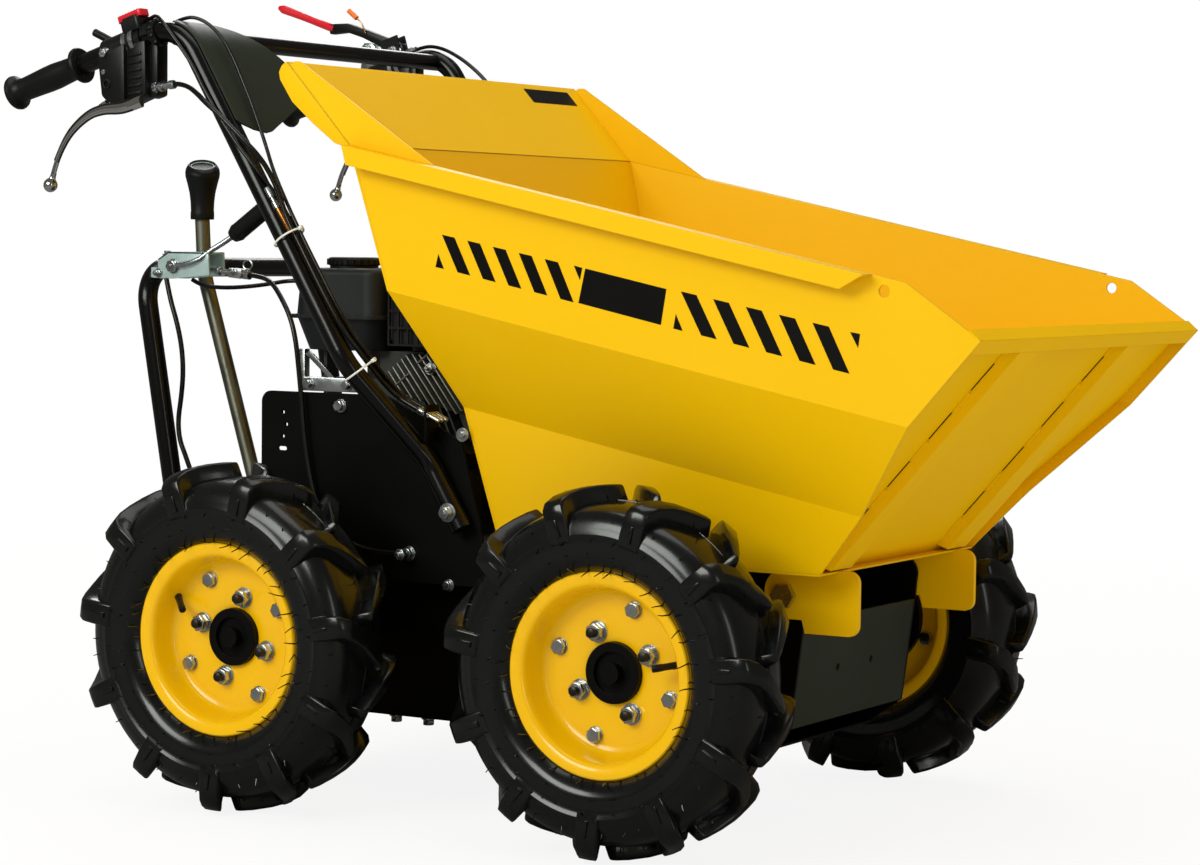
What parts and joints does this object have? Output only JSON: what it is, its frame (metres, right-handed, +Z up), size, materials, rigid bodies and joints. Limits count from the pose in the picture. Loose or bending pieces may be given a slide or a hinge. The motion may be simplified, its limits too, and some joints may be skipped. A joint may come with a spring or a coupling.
{
  "type": "walk-behind site dumper",
  "caption": "Walk-behind four-wheel-drive site dumper with a forward-tipping sheet-metal skip, petrol engine and raised handlebar.",
  "frame": {"origin": "on the ground, midway between front and rear ends and on the middle plane", "axes": "+X forward to the tipping lip, +Y to the operator's left, +Z up"},
  "size_m": [1.374, 0.78, 1.0238],
  "materials": {
    "skip_yellow": "gloss paint",
    "rim_yellow": "gloss paint",
    "frame_black": "semi-gloss paint",
    "plate_grey": "semi-gloss paint",
    "tyre_black": "satin rubber",
    "rubber_black": "matt rubber",
    "plastic_black": "moulded",
    "plastic_red": "gloss",
    "engine_metal": "cast",
    "engine_black": "gloss paint",
    "zinc": "zinc plated",
    "chrome": "polished",
    "cable_black": "sheath"
  },
  "bodies": {
    "chassis": {"frame_sides": "frame_black", "front_plate": "plate_grey", "bottom_cover": "frame_black", "rear_plate": "frame_black", "engine_deck": "frame_black", "side_plates": "frame_black", "axle_front": "frame_black", "axle_rear": "frame_black", "gearbox": "engine_metal", "rest_beam": "frame_black", "skip_rests": "rubber_black", "pivot_pins": "zinc", "engine": "engine_metal", "fuel_tank": "engine_black", "fuel_cap": "plastic_black", "exhaust_box": "engine_black", "handlebar": "frame_black", "grips": "rubber_black", "lever_housings": "plastic_black", "hand_levers": "chrome", "stop_switch": "plastic_black", "stop_rocker": "plastic_red", "clutch_bracket": "zinc", "clutch_lever": "plastic_red", "handle_shield": "plate_grey", "rear_hoop": "frame_black", "gear_lever": "zinc", "gear_knob": "plastic_black", "exhaust_guard": "frame_black", "engine_covers": "plastic_black", "throttle_lever": "plastic_black", "hoop_bracket": "zinc", "lock_knob": "rubber_black", "cable_fittings": "zinc", "cable_brake": "cable_black", "cable_throttle": "cable_black", "cable_stop": "cable_black", "cable_clutch": "cable_black", "cable_gear": "cable_black", "cable_lock": "cable_black", "cable_cross": "cable_black"},
    "skip": {"skip_side_right": "skip_yellow", "skip_side_left": "skip_yellow", "skip_rear_wall": "skip_yellow", "skip_floor": "skip_yellow", "skip_front": "skip_yellow", "splash_guard": "skip_yellow", "pivot_plates": "skip_yellow"},
    "wheel_front_right": {"tyre_front_right": "tyre_black", "rim_front_right": "rim_yellow", "hub_front_right": "frame_black"},
    "wheel_front_left": {"tyre_front_left": "tyre_black", "rim_front_left": "rim_yellow", "hub_front_left": "frame_black"},
    "wheel_rear_right": {"tyre_rear_right": "tyre_black", "rim_rear_right": "rim_yellow", "hub_rear_right": "frame_black"},
    "wheel_rear_left": {"tyre_rear_left": "tyre_black", "rim_rear_left": "rim_yellow", "hub_rear_left": "frame_black"}
  },
  "joints": [
    {"name": "skip_tip", "type": "hinge", "parent": "chassis", "child": "skip", "pos_m": [0.378, 0, 0.289], "axis": [0, 1, 0], "range_deg": [0, 72]},
    {"name": "wheel_front_right_roll", "type": "hinge", "parent": "chassis", "child": "wheel_front_right", "pos_m": [0.258, -0.332, 0.21], "axis": [0, 1, 0], "continuous": true},
    {"name": "wheel_front_left_roll", "type": "hinge", "parent": "chassis", "child": "wheel_front_left", "pos_m": [0.258, 0.332, 0.21], "axis": [0, 1, 0], "continuous": true},
    {"name": "wheel_rear_right_roll", "type": "hinge", "parent": "chassis", "child": "wheel_rear_right", "pos_m": [-0.274, -0.332, 0.21], "axis": [0, 1, 0], "continuous": true},
    {"name": "wheel_rear_left_roll", "type": "hinge", "parent": "chassis", "child": "wheel_rear_left", "pos_m": [-0.274, 0.332, 0.21], "axis": [0, 1, 0], "continuous": true}
  ]
}
